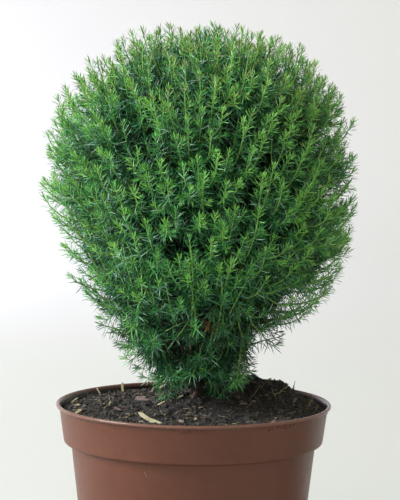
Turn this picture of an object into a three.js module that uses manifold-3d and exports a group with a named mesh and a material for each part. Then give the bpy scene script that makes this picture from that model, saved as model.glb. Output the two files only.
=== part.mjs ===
// A teddy arborvitae in its nursery pot: a dense, egg-shaped dwarf conifer with soft needles all round,
// on a short trunk that forks just above the soil of a terracotta-brown plastic pot.
// Millimetres, +Z up. The origin is the centre of the pot's flat underside.
// The photograph looks along +Y.
import * as THREE from "three";
import { mergeVertices } from "three/addons/utils/BufferGeometryUtils.js";
import Module from "manifold-3d";

const wasm = await Module();
wasm.setup();

// Driving dimensions.
const RIM_RADIUS = 95; // the pot, over its rolled lip
const POT_HEIGHT = 146;
const WALL = 1.8; // the pot's plastic
const SOIL_DROP = 5; // from the top of the lip down to the soil's edge
const GROUND = 150; // height of the soil at the trunk's foot
const CROWN_RADIUS = 109; // the crown at its widest
const CROWN_HEIGHT = 260; // from the trunk's foot to the topmost shoots
const TRUNK_RADIUS = 3.2; // just above the root flare
const MASSES = 20; // masses of foliage: the first stands on the trunk's tip, the others on boughs
const SHOOTS = 264; // leafy shoots looked for over the whole crown; some find no room
const CLEAR = 0.3; // left free between two pieces that meet
const ROUND = 36; // flat sides that stand for a full turn of the pot

const UP = new THREE.Vector3(0, 0, 1);
const GOLDEN_ANGLE = Math.PI * (3 - Math.sqrt(5));

const terracotta = new THREE.MeshStandardMaterial({ color: 0x6e402e, roughness: 0.45, metalness: 0 });
const peat = new THREE.MeshStandardMaterial({ color: 0x2b241f, roughness: 1, metalness: 0 });
const bark = new THREE.MeshStandardMaterial({ color: 0x4c3227, roughness: 0.9, metalness: 0 });
const brightLeaf = new THREE.MeshStandardMaterial({ color: 0x4c8a3c, roughness: 0.6, metalness: 0 });
const deepLeaf = new THREE.MeshStandardMaterial({ color: 0x2c5f3d, roughness: 0.6, metalness: 0 });

// The pot and its soil share the whole plant's frame, and the tree stands in its own, on the trunk's foot.
const plant = new THREE.Group();
const tree = new THREE.Group();
tree.position.set(2.4, 2, GROUND);
plant.add(tree);

// A closed geometry as a solid that can be cut and joined, with its faces pointing out.
function solidOf(geometry) {
  const bare = geometry.index ? geometry.toNonIndexed() : geometry.clone();
  for (const name of ["normal", "uv"]) bare.deleteAttribute(name);
  const { index, attributes } = mergeVertices(bare, 1e-3);
  const triVerts = [];
  for (let i = 0; i < index.count; i += 3) {
    const [a, b, c] = [index.getX(i), index.getX(i + 1), index.getX(i + 2)];
    if (a !== b && b !== c && c !== a) triVerts.push(a, b, c);
  }
  const numbers = { numProp: 3, vertProperties: attributes.position.array };
  const solid = new wasm.Manifold(new wasm.Mesh({ ...numbers, triVerts: Uint32Array.from(triVerts) }));
  if (solid.volume() > 0) return solid;
  return new wasm.Manifold(new wasm.Mesh({ ...numbers, triVerts: Uint32Array.from(triVerts.reverse()) }));
}

// The largest body of a solid, without the loose scraps and sealed hollows that joining can leave.
function wholeBody(solid) {
  return solid.decompose().reduce((best, body) => (body.volume() > best.volume() ? body : best));
}

function geometryOf(solid) {
  const { vertProperties, numProp, triVerts } = solid.getMesh();
  const geometry = new THREE.BufferGeometry();
  geometry.setAttribute("position", new THREE.BufferAttribute(vertProperties, numProp));
  geometry.setIndex(new THREE.BufferAttribute(triVerts, 1));
  return geometry;
}

// A solid becomes a piece once its points are rounded, as that can part a scrap from it too.
function addPiece(group, name, solid, material) {
  const rounded = solidOf(geometryOf(wholeBody(solid.simplify(0.03))));
  const geometry = geometryOf(wholeBody(rounded));
  geometry.computeVertexNormals();
  const piece = new THREE.Mesh(geometry, material);
  piece.name = name;
  group.add(piece);
}

// The same numbers from 0 to 1 each time, from a seed.
function dice(seed) {
  let state = seed;
  return () => {
    state = (state * 16807) % 2147483647;
    return state / 2147483647;
  };
}

// Pot: a thin shell with a deep band under a rolled lip, and drain holes near the edge of its floor

const LIP = POT_HEIGHT - 1.5; // the middle of the rolled lip
const BAND_LOW = POT_HEIGHT - 26; // the band's lower edge
const BAND_TOP_RADIUS = RIM_RADIUS - 2.6;
const BAND_LOW_RADIUS = RIM_RADIUS - 5.5;
const NECK = BAND_LOW - 2.7; // the band steps in to the body here
const NECK_RADIUS = RIM_RADIUS - 10.8;
const BASE_RADIUS = RIM_RADIUS - 24;
const DRAIN_HOLES = 6;
const DRAIN_RADIUS = 5;
const DRAIN_CIRCLE = 0.78 * BASE_RADIUS; // the drain holes' middles lie on this circle

function potSolid() {
  const profile = [
    [0, 0],
    [BASE_RADIUS - 3, 0],
    [BASE_RADIUS, 2.5],
    [NECK_RADIUS, NECK],
    [BAND_LOW_RADIUS - 0.8, BAND_LOW - 1],
    [BAND_LOW_RADIUS, BAND_LOW + 1],
    [BAND_TOP_RADIUS, LIP - 2],
    [RIM_RADIUS - 0.4, LIP - 1.2],
    [RIM_RADIUS, LIP],
    [RIM_RADIUS - 0.8, POT_HEIGHT - 0.3],
    [RIM_RADIUS - 2.2, POT_HEIGHT],
    [BAND_TOP_RADIUS - WALL, LIP],
    [BAND_LOW_RADIUS - WALL, BAND_LOW + 2],
    [NECK_RADIUS - WALL, NECK],
    [BASE_RADIUS - WALL, 4],
    [BASE_RADIUS - 5, WALL],
    [0, WALL],
  ].map(([radius, z]) => new THREE.Vector2(radius, z));
  let pot = solidOf(new THREE.LatheGeometry(profile, ROUND).rotateX(Math.PI / 2));
  for (let i = 0; i < DRAIN_HOLES; i++) {
    const angle = ((i + 0.5) / DRAIN_HOLES) * 2 * Math.PI;
    const hole = new THREE.CylinderGeometry(DRAIN_RADIUS, DRAIN_RADIUS, 4 * WALL, 8).rotateX(Math.PI / 2);
    hole.translate(DRAIN_CIRCLE * Math.cos(angle), DRAIN_CIRCLE * Math.sin(angle), 0);
    pot = pot.subtract(solidOf(hole));
  }
  return pot;
}

addPiece(plant, "pot", potSolid(), terracotta);

// Soil: fills the pot, heaped round the trunk and higher on the right behind it, with splinters of wood

const SOIL_EDGE = POT_HEIGHT - SOIL_DROP;
const HEAPS = [
  { x: 6, y: 6, spreadX: 34, spreadY: 30, height: 9 },
  { x: 36, y: 34, spreadX: 24, spreadY: 20, height: 13 },
  { x: 58, y: 46, spreadX: 18, spreadY: 22, height: 8 },
];
const SPLINTERS = [
  { x: -30, y: -46, length: 15, width: 4.5, turn: -0.5, tilt: 0.1 },
  { x: 17, y: -16, length: 22, width: 5, turn: 0.6, tilt: -0.1 },
  { x: 36, y: 22, length: 20, width: 8, turn: 0.1, tilt: -0.25 },
  { x: -34, y: 22, length: 12, width: 6, turn: 0.4, tilt: 0.15 },
];
const SPLINTER_THICKNESS = 2.6;
const SEAT_RADIUS = 6.5; // the flat place that the trunk stands on

function heapHeight(x, y, heap) {
  return heap.height * Math.exp(-(((x - heap.x) / heap.spreadX) ** 2) - ((y - heap.y) / heap.spreadY) ** 2);
}

function soilHeight(x, y) {
  const clods = 0.8 * Math.sin(0.19 * x + 1) * Math.cos(0.16 * y) + 0.5 * Math.sin(0.31 * y - 0.27 * x);
  const heaped = HEAPS.reduce((sum, heap) => sum + heapHeight(x, y, heap), 0);
  const inward = 1 - THREE.MathUtils.smoothstep(Math.hypot(x, y), 0.8 * RIM_RADIUS, 0.92 * RIM_RADIUS);
  const fromTrunk = Math.hypot(x - tree.position.x, y - tree.position.y);
  const open = THREE.MathUtils.smoothstep(fromTrunk, SEAT_RADIUS + 1.5, SEAT_RADIUS + 9.5);
  return THREE.MathUtils.lerp(GROUND - CLEAR, SOIL_EDGE + heaped + clods * inward, open);
}

function splinterSolid({ x, y, length, width, turn, tilt }) {
  const slab = new THREE.BoxGeometry(length, width, SPLINTER_THICKNESS).rotateY(tilt).rotateZ(turn);
  return solidOf(slab.translate(x, y, soilHeight(x, y) + 0.5));
}

function soilSolid() {
  const rings = 5;
  const wallShare = (SOIL_EDGE - BAND_LOW - 2) / (LIP - BAND_LOW - 2);
  const edgeRadius = THREE.MathUtils.lerp(BAND_LOW_RADIUS, BAND_TOP_RADIUS, wallShare) - WALL - 1.5 * CLEAR;
  const profile = [
    [0, WALL + CLEAR],
    [BASE_RADIUS - 5.5, WALL + CLEAR],
    [BASE_RADIUS - WALL - 0.5, 4.2],
    [NECK_RADIUS - WALL - CLEAR, NECK],
    [BAND_LOW_RADIUS - WALL - CLEAR, BAND_LOW + 2.3],
  ];
  for (let i = rings; i >= 0; i--) profile.push([(edgeRadius * i) / rings, SOIL_EDGE]);
  const points = profile.map(([radius, z]) => new THREE.Vector2(radius, z));
  const geometry = new THREE.LatheGeometry(points, ROUND).rotateX(Math.PI / 2);
  const at = geometry.attributes.position;
  for (let i = 0; i < at.count; i++) {
    if (at.getZ(i) > SOIL_EDGE - 1) at.setZ(i, soilHeight(at.getX(i), at.getY(i)));
  }
  const seat = new THREE.CylinderGeometry(SEAT_RADIUS, SEAT_RADIUS, 12, 12).rotateX(Math.PI / 2);
  seat.translate(tree.position.x, tree.position.y, GROUND - CLEAR + 6);
  const heapedSoil = SPLINTERS.reduce((soil, place) => soil.add(splinterSolid(place)), solidOf(geometry));
  return heapedSoil.subtract(solidOf(seat));
}

addPiece(plant, "soil", soilSolid(), peat);

// Outline of the crown: a surface of turning that places all that grows, in the tree's own frame

const CROWN_FOOT = -4;
const CROWN_WIDEST = 158;
const FORK = new THREE.Vector3(0.6, 0, 10); // boughs start above this place, and shoots point away from it
const LEADER = 186; // the trunk's tip

// Radius of the outline at a height: half an ellipse above the widest place, and a fuller cone below it.
function outlineRadius(z) {
  const above = z > CROWN_WIDEST;
  const span = above ? CROWN_HEIGHT - CROWN_WIDEST : CROWN_WIDEST - CROWN_FOOT;
  const share = Math.min(1, Math.abs(z - CROWN_WIDEST) / span);
  return CROWN_RADIUS * (1 - share ** 2) ** (above ? 0.5 : 0.78);
}

// How far the trunk has leant to the right of its foot at a height, and how far from the foot the crown's
// middle lies: low down and again above its waist the crown bulges to the left.
const LEAN = 3.2;
const FULL_LEAN = 40; // the trunk has all its lean from this height on
const LOW_BULGE = 6; // grows over the first height and fades between the other two
const LOW_BULGE_HEIGHTS = [20, 40, 75];
const HIGH_BULGE = 4.6; // grows between these heights
const HIGH_BULGE_HEIGHTS = [105, 150];

function trunkLean(z) {
  return LEAN * THREE.MathUtils.smoothstep(z, CROWN_FOOT, FULL_LEAN);
}

function crownMiddle(z) {
  const [grown, fading, gone] = LOW_BULGE_HEIGHTS;
  const low = THREE.MathUtils.smoothstep(z, CROWN_FOOT, grown) - THREE.MathUtils.smoothstep(z, fading, gone);
  const high = THREE.MathUtils.smoothstep(z, ...HIGH_BULGE_HEIGHTS);
  return trunkLean(z) - LOW_BULGE * low - HIGH_BULGE * high;
}

// The outline from the top down, with the area above each of its heights.
const outline = [];
for (let z = CROWN_HEIGHT; z >= CROWN_FOOT + 8; z -= 2) {
  const last = outline.at(-1) ?? { z, radius: 0, area: 0 };
  const radius = outlineRadius(z);
  const area = last.area + Math.hypot(last.z - z, radius - last.radius) * (radius + last.radius);
  outline.push({ z, radius, area });
}

// The crown's surface at a share of its area and a turn round it: the point, and the way it faces.
function crownSurface(share, turn) {
  const area = share * outline.at(-1).area;
  const next = Math.max(1, outline.findIndex((place) => place.area >= area));
  const [above, below] = [outline[next - 1], outline[next]];
  const z = THREE.MathUtils.mapLinear(area, above.area, below.area, above.z, below.z);
  const radius = outlineRadius(z);
  const slope = outlineRadius(z - 1) - outlineRadius(z + 1);
  const facing = new THREE.Vector3(Math.cos(turn), Math.sin(turn), slope / 2).normalize();
  const point = new THREE.Vector3(crownMiddle(z) + radius * Math.cos(turn), radius * Math.sin(turn), z);
  return { point, facing };
}

// How far a point lies under the crown's surface.
function depthInCrown({ x, y, z }) {
  const fromMiddle = Math.hypot(x - crownMiddle(z), y);
  if (fromMiddle >= outlineRadius(z)) return 0;
  return Math.min(...outline.map((place) => Math.hypot(place.z - z, place.radius - fromMiddle)));
}

// Masses: each keeps to the space that lies nearer to its middle than to any other's. Its core keeps out of
// the space nearest to the trunk too, which is left to the boughs

const CORE_DEPTH = 24; // the cores reach this near to the crown's surface, and shoots stand out of them
const MIDDLE_DEPTH = 38; // how far under the crown's surface a mass has its middle
const NEAR_AXIS = 0.5; // but it stays out of this share of the way from the crown's axis
const FIRST_TURN = 0.4; // the turn, in radians, at which the masses' spiral starts
const LOWEST = 0.92; // share of the crown's surface above the lowest mass's middle
const STEM = 6; // what shows of a mass's stem between its bough's tip and its core
const MARGIN = 0.45; // each mass stays this far inside its space

const masses = [];
for (let m = 0; m < MASSES; m++) {
  const { point, facing } = crownSurface((LOWEST * m) / (MASSES - 1), FIRST_TURN + m * GOLDEN_ANGLE);
  const toAxis = Math.hypot(point.x, point.y) / Math.hypot(facing.x, facing.y);
  const depth = m === 0 ? MIDDLE_DEPTH : Math.min(MIDDLE_DEPTH, NEAR_AXIS * toAxis);
  const middle = point.addScaledVector(facing, -depth);
  masses.push({ middle, shoots: [], number: String(m + 1).padStart(2, "0") });
}

// The plane half way between two places, facing the first.
function halfWay(place, other) {
  const facing = place.clone().sub(other).normalize();
  return new THREE.Plane().setFromNormalAndCoplanarPoint(facing, place.clone().lerp(other, 0.5));
}

const alongTrunk = [];
for (let z = FORK.z; z <= LEADER; z += 16) alongTrunk.push(new THREE.Vector3(trunkLean(z), 0, z));
for (const mass of masses) {
  mass.walls = masses.filter((other) => other !== mass).map((other) => halfWay(mass.middle, other.middle));
  mass.coreWalls = [...mass.walls, ...alongTrunk.map((place) => halfWay(mass.middle, place))];
}

// How far a point lies inside all of some walls.
function depthIn(walls, point) {
  return Math.min(...walls.map((wall) => wall.distanceToPoint(point)));
}

function isInCore(mass, point) {
  return depthIn(mass.coreWalls, point) > MARGIN && depthInCrown(point) > CORE_DEPTH;
}

// Where a line from a mass's middle leaves its core.
function coreEdge(mass, direction) {
  const edge = mass.middle.clone();
  while (isInCore(mass, edge)) edge.addScaledVector(direction, 0.5);
  return edge.addScaledVector(direction, -0.5);
}

function coreSolid(mass) {
  const ball = new THREE.IcosahedronGeometry(1, 1);
  const at = ball.attributes.position;
  for (let i = 0; i < at.count; i++) {
    const edge = coreEdge(mass, new THREE.Vector3().fromBufferAttribute(at, i).normalize());
    at.setXYZ(i, edge.x, edge.y, edge.z);
  }
  return solidOf(ball);
}

// Limbs: the trunk, the boughs and the masses' stems, each tapering along its curve

function limbSolid(curve, radiusAt, sides, steps, crowding = 1) {
  const geometry = new THREE.CylinderGeometry(1, 1, 1, sides, steps);
  const { normals, binormals } = curve.computeFrenetFrames(steps);
  const at = geometry.attributes.position;
  for (let i = 0; i < at.count; i++) {
    const step = Math.round((at.getY(i) + 0.5) * steps);
    const share = (step / steps) ** crowding;
    const radius = radiusAt(share);
    const point = curve.getPointAt(share);
    point.addScaledVector(normals[step], at.getX(i) * radius);
    point.addScaledVector(binormals[step], at.getZ(i) * radius);
    at.setXYZ(i, point.x, point.y, point.z);
  }
  return solidOf(geometry);
}

// Trunk: rises with a slight lean to the right, flared at the foot, and tapers up through the foliage

const BURIED = 8; // the curve starts this far down, and the trunk is cut flat at the ground
const trunkCurve = new THREE.CubicBezierCurve3(
  new THREE.Vector3(-0.6, 0, -BURIED),
  new THREE.Vector3(2, 0, 50),
  new THREE.Vector3(3.5, 0, 110),
  new THREE.Vector3(LEAN, 0, LEADER),
);

function trunkSolid(extra) {
  const length = trunkCurve.getLength();
  const radiusAt = (share) => {
    const above = Math.max(0, share * length - BURIED);
    return THREE.MathUtils.lerp(TRUNK_RADIUS, 1.2, above / LEADER) + 2.2 * Math.exp(-above / 3) + extra;
  };
  return limbSolid(trunkCurve, radiusAt, 8, 18, 1.5);
}

const flatCut = solidOf(new THREE.BoxGeometry(40, 40, 2 * BURIED).translate(0, 0, -BURIED));
addPiece(tree, "trunk", trunkSolid(0).subtract(flatCut), bark);
const roomForTrunk = trunkSolid(CLEAR);

// Boughs: one to each mass but the first, spiralling up the trunk from the fork. A bough climbs beside the
// trunk and turns out into its mass

const BOUGH_STEP = 3.3; // rise along the trunk from one bough to the next
const BOUGH_RADIUS = 1.5;
const BOUGH_TIP = 1.1;
const BEND = 0.35; // how far a bough's ends pull on its curve, as a share of its span
const LEVEL_TOP = 0.75; // how level the topmost bough runs into its mass, from 0 to 1
const LEVEL_LOW = 0.3; // and the lowest

masses.forEach((mass, m) => {
  const height = FORK.z + BOUGH_STEP * (MASSES - 1 - m);
  mass.start = trunkCurve.getPointAt((BURIED + height) / (BURIED + LEADER));
  if (m === 0) mass.start = trunkCurve.getPointAt(1);
  const level = THREE.MathUtils.lerp(LEVEL_TOP, LEVEL_LOW, m / (MASSES - 1));
  const inward = mass.start.clone().lerp(new THREE.Vector3(LEAN, 0, mass.middle.z), level);
  mass.heading = m === 0 ? UP : mass.middle.clone().sub(inward).normalize();
  mass.entry = coreEdge(mass, mass.heading.clone().negate());
  for (let out = 0; out < STEM && depthIn(mass.walls, mass.entry) > MARGIN + BOUGH_TIP; out += 0.5) {
    mass.entry.addScaledVector(mass.heading, -0.5);
  }
  if (m === 0) mass.entry.copy(mass.start).addScaledVector(UP, CLEAR);
});

function boughSolid(mass, extra = 0) {
  const end = mass.entry.clone().addScaledVector(mass.heading, -CLEAR);
  const span = mass.start.distanceTo(end);
  const outward = new THREE.Vector3(end.x - mass.start.x, end.y - mass.start.y, 0).normalize();
  const curve = new THREE.CubicBezierCurve3(
    mass.start,
    mass.start.clone().addScaledVector(outward.add(UP).normalize(), BEND * span),
    end.clone().addScaledVector(mass.heading, -BEND * span),
    end,
  );
  return limbSolid(curve, (share) => THREE.MathUtils.lerp(BOUGH_RADIUS, BOUGH_TIP, share) + extra, 5, 3);
}

let roomForLimbs = roomForTrunk;
for (const mass of masses.slice(1)) {
  addPiece(tree, `bough_${mass.number}`, boughSolid(mass).subtract(roomForTrunk), bark);
  roomForLimbs = roomForLimbs.add(boughSolid(mass, CLEAR));
}

// Shoots: three-sided twigs that leave a mass's stem and swell into slim spindles with two whorls of three
// needles. Each stands for a spray of soft needles, larger than life

const SHOOT_LENGTH = 31; // the leafy part
const TWIG_RADIUS = 0.9;
const SPINDLE_RADIUS = 1.7;
const NEEDLE_SPREAD = 8.5;
const NEEDLE_LEAN = 8; // how far a needle's tip lies ahead of its foot
const WHORLS = [0.28, 0.52, 0.76]; // the two whorls stand between these shares of the leafy part
const TWIST = 0.5; // turn from one whorl to the next
const TIP_IN = 6; // a shoot's tip may end this far inside the outline
const TIP_OUT = 2; // or this far outside it
const LOW = 45; // below this height the shoots get shorter
const FIRST_TWIG = 0.8; // twigs leave a mass's stem between this share of it and its end
const MOVES_IN = [0, 4, 8, 12, 16]; // how far a shoot is moved in towards its mass's middle, tried in turn

// The corners of a shoot's faces, three to a face.
function shootCorners({ root, elbow, tip, turn }) {
  const along = tip.clone().sub(elbow).normalize();
  const side = new THREE.Vector3().crossVectors(along, UP).normalize();
  const across = new THREE.Vector3().crossVectors(along, side);
  const places = [root, ...WHORLS.map((share) => elbow.clone().lerp(tip, share))];
  const rings = places.map((middle, i) => {
    const radius = i === 0 ? TWIG_RADIUS : SPINDLE_RADIUS * (1.2 - 0.2 * i);
    return [0, 1, 2].map((k) => {
      const angle = turn + TWIST * i + (k * 2 * Math.PI) / 3;
      const corner = middle.clone().addScaledVector(side, radius * Math.cos(angle));
      return corner.addScaledVector(across, radius * Math.sin(angle));
    });
  });
  const corners = [rings[0][0], rings[0][2], rings[0][1]];
  for (let i = 0; i < WHORLS.length; i++) {
    for (let k = 0; k < 3; k++) {
      const next = (k + 1) % 3;
      const [a, b, c, d] = [rings[i][k], rings[i][next], rings[i + 1][next], rings[i + 1][k]];
      if (i === 0) {
        corners.push(a, b, c, a, c, d);
        continue;
      }
      const middle = places[i].clone().lerp(places[i + 1], 0.5);
      const out = a.clone().add(b).add(c).add(d).divideScalar(4).sub(middle).normalize();
      const point = middle.addScaledVector(out, NEEDLE_SPREAD).addScaledVector(along, NEEDLE_LEAN);
      for (const [from, to] of [[a, b], [b, c], [c, d], [d, a]]) corners.push(from, to, point);
    }
  }
  const last = rings.at(-1);
  for (let k = 0; k < 3; k++) corners.push(last[k], last[(k + 1) % 3], tip);
  return corners;
}

// A shoot ends on the crown's outline, points between outward and away from the fork, and keeps to its
// mass. Where it would leave the mass's space it is moved in towards the middle, or else left out.
function growShoot({ point, facing }, roll) {
  const mass = masses.reduce((best, other) => {
    return point.distanceTo(other.middle) < point.distanceTo(best.middle) ? other : best;
  });
  const direction = point.clone().sub(FORK).normalize().add(facing).normalize();
  const length = SHOOT_LENGTH * THREE.MathUtils.lerp(0.25, 1, Math.min(1, point.z / LOW));
  const beyond = THREE.MathUtils.lerp(-TIP_IN, TIP_OUT, roll());
  const turn = 2 * Math.PI * roll();
  const root = mass.entry.clone().lerp(mass.middle, THREE.MathUtils.lerp(FIRST_TWIG, 1, roll()));
  for (const moved of MOVES_IN) {
    const tip = point.clone().addScaledVector(direction, beyond);
    tip.add(mass.middle.clone().sub(point).setLength(moved));
    const elbow = tip.clone().addScaledVector(direction, -length);
    const corners = shootCorners({ root, elbow, tip, turn });
    if (corners.some((corner) => depthIn(mass.walls, corner) < MARGIN || !isAboveSoil(corner))) continue;
    const geometry = new THREE.BufferGeometry().setFromPoints(corners);
    geometry.setIndex(corners.map((_, i) => i));
    const shoot = solidOf(geometry);
    if (shoot.intersect(roomForLimbs).volume() > 0) continue;
    mass.shoots.push(shoot);
    return;
  }
}

function isAboveSoil({ x, y, z }) {
  return GROUND + z > soilHeight(tree.position.x + x, tree.position.y + y) + 1;
}

const roll = dice(2027);
for (let i = 0; i < SHOOTS; i++) growShoot(crownSurface((i + 0.3) / SHOOTS, i * GOLDEN_ANGLE), roll);

// Foliage: each mass is its stem, its core and its shoots in one, a deeper green low down

const DEEP_GREEN = 120; // masses with their middle below this height are the deeper ones

for (const mass of masses) {
  const stem = limbSolid(new THREE.LineCurve3(mass.entry, mass.middle), () => BOUGH_TIP, 5, 1);
  const solid = [coreSolid(mass), ...mass.shoots].reduce((whole, piece) => whole.add(piece), stem);
  const material = mass.middle.z < DEEP_GREEN ? deepLeaf : brightLeaf;
  addPiece(tree, `foliage_${mass.number}`, solid.subtract(roomForLimbs), material);
}

export default plant;
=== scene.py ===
from math import cos, exp, hypot, pi, radians, sin, sqrt

import bmesh
import bpy
import numpy as np
from mathutils import Matrix, Vector, noise
from numpy.linalg import norm


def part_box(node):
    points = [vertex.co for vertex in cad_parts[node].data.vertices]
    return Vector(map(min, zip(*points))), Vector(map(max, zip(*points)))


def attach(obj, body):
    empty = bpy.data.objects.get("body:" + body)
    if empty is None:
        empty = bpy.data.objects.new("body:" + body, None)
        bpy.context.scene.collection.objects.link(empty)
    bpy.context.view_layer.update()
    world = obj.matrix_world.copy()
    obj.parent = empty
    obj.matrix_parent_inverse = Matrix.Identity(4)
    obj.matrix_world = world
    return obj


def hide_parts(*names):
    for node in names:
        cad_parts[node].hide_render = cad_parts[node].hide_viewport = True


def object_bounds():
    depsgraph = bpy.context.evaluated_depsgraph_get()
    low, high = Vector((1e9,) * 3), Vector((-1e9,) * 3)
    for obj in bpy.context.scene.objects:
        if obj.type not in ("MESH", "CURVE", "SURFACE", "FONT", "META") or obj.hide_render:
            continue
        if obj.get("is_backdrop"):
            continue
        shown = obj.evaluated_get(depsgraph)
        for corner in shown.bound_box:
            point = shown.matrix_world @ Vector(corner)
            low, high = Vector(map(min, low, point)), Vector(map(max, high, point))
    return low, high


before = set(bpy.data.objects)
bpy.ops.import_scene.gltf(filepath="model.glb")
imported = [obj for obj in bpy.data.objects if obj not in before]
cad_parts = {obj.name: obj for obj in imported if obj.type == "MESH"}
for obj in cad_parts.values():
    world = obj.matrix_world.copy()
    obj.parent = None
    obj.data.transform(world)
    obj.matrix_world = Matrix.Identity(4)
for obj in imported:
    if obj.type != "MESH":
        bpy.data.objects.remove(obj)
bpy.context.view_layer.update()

# Pot: a nursery pot moulded in one piece from terracotta-brown plastic, with a thin wall. Its lip is a small
# rolled bead, a deep band under the lip stiffens the rim, and drain holes pierce the floor near its edge.

pot_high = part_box("pot")[1]
rim_radius = pot_high.x
pot_height = pot_high.z
pot_wall = 0.0018
edge_rounding = 0.0004
lip_middle = pot_height - 0.0013
band_low = pot_height - 0.026
band_top_radius = rim_radius - 0.0024
band_low_radius = rim_radius - 0.0055
neck = band_low - 0.0027
neck_radius = rim_radius - 0.0108
base_radius = rim_radius - 0.024
drain_count = 6
drain_radius = 0.005
drain_circle = 0.78 * base_radius

pot_brown = (0.096, 0.03, 0.0156)
pot_brown_light = (0.118, 0.0388, 0.0212)
# Painted highlight on rubbed plastic: the paler pink-brown tone of the lip.
pot_rubbed_highlight = (0.19, 0.1, 0.078, 1)
# Peat stain and painted shade: the near-black tone of the pot's inner wall.
pot_stain_and_shade = (0.012, 0.008, 0.007, 1)


def new_object(name, data):
    piece = bpy.data.objects.new(name, data)
    bpy.context.scene.collection.objects.link(piece)
    return piece


def piece_from(bm, name):
    mesh = bpy.data.meshes.new(name)
    bm.to_mesh(mesh)
    bm.free()
    return new_object(name, mesh)


def finish_piece(piece, material):
    """Gives a piece its material and its slot, and lets it ride on the plant's one body."""
    piece.data.materials.clear()
    piece.data.materials.append(material)
    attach(piece, "root")


def smooth_faces(bm):
    for face in bm.faces:
        face.smooth = True


def turned(section, steps, merged_within, rounding=0):
    """A wall turned about the upright axis from its section, as (radius, height)."""
    bm = bmesh.new()
    corners = [bm.verts.new((radius, 0, z)) for radius, z in section]
    for start, end in zip(corners, corners[1:]):
        bm.edges.new((start, end))
    if rounding:
        rounded = {"affect": "VERTICES", "segments": 3, "profile": 0.5, "material": -1}
        bmesh.ops.bevel(bm, geom=corners[1:-1], offset=rounding, **rounded)
    outline = bm.verts[:] + bm.edges[:]
    axis = {"cent": (0, 0, 0), "axis": (0, 0, 1), "angle": 2 * pi}
    bmesh.ops.spin(bm, geom=outline, dvec=(0, 0, 0), steps=steps, use_merge=True, **axis)
    bmesh.ops.remove_doubles(bm, verts=bm.verts, dist=merged_within)
    bmesh.ops.recalc_face_normals(bm, faces=bm.faces)
    smooth_faces(bm)
    return bm


def pot_shell():
    """The pot's wall, with its inner side (stain and painted shade) and its rubbed lip (painted highlight)
    marked on the mesh.
    """
    section = [
        (0, 0.0016),
        (base_radius - 0.01, 0.0016),
        (base_radius - 0.008, 0),
        (base_radius - 0.003, 0),
        (base_radius, 0.0025),
        (neck_radius, neck),
        (band_low_radius - 0.0004, band_low - 0.0004),
        (band_low_radius, band_low + 0.0012),
        (band_top_radius, lip_middle - 0.0012),
        (rim_radius - 0.0004, lip_middle - 0.0009),
        (rim_radius, lip_middle),
        (rim_radius - 0.0003, pot_height - 0.0005),
        (rim_radius - 0.0013, pot_height),
        (rim_radius - 0.0026, pot_height - 0.0006),
        (band_top_radius - pot_wall + 0.0008, pot_height - 0.0024),
        (band_top_radius - pot_wall, pot_height - 0.005),
        (band_low_radius - pot_wall, band_low + 0.002),
        (neck_radius - pot_wall, neck),
        (base_radius - pot_wall, 0.004),
        (base_radius - 0.005, pot_wall + 0.0014),
        (0, pot_wall + 0.0014),
    ]
    bm = turned(section, steps=160, merged_within=1e-6, rounding=edge_rounding)
    inside, polish_and_highlight = (bm.verts.layers.float.new(name) for name in ("inside", "polish_and_highlight"))
    heights = (0, neck, band_low, lip_middle - 0.0012, lip_middle)
    radii = (base_radius, neck_radius, band_low_radius, band_top_radius, rim_radius - 0.0006)
    for vert in bm.verts:
        height = vert.co.z
        behind = hypot(vert.co.x, vert.co.y) < np.interp(height, heights, radii) - 0.0008
        vert[inside] = float(behind and 0.002 < height < pot_height - 0.0012)
        vert[polish_and_highlight] = float(height > lip_middle - 0.0008)
    return piece_from(bm, "pot_shell")


def cut_drain_holes(shell):
    bm = bmesh.new()
    for i in range(drain_count):
        angle = 2 * pi * (i + 0.5) / drain_count
        place = Matrix.Translation((drain_circle * cos(angle), drain_circle * sin(angle), 0))
        bar = {"radius1": drain_radius, "radius2": drain_radius, "depth": 0.012, "matrix": place}
        bmesh.ops.create_cone(bm, cap_ends=True, segments=32, **bar)
    cutter = piece_from(bm, "drain_cutter")
    cut = shell.modifiers.new("drain_holes", "BOOLEAN")
    cut.object = cutter
    cut.solver = "EXACT"
    bpy.context.view_layer.objects.active = shell
    bpy.ops.object.modifier_apply(modifier=cut.name)
    bpy.data.objects.remove(cutter)


def add_node(tree, kind, fed=None, **settings):
    """A shader node with its settings. Each named input gets a value, or the output that feeds it."""
    node = tree.nodes.new("ShaderNode" + kind)
    for name, value in settings.items():
        setattr(node, name, value)
    for name, value in (fed or {}).items():
        if isinstance(value, bpy.types.NodeSocket):
            tree.links.new(value, node.inputs[name])
        else:
            node.inputs[name].default_value = value
    return node


def worked_out(tree, operation, *terms, **settings):
    """The outcome of one step of arithmetic on numbers and outputs."""
    return add_node(tree, "Math", dict(enumerate(terms)), operation=operation, **settings).outputs[0]


def mixed(tree, share, first, second):
    """The colour that a share of the second makes with the first."""
    mix = add_node(tree, "Mix", {"Factor": share, "A": first, "B": second}, data_type="RGBA")
    return mix.outputs["Result"]


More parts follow.
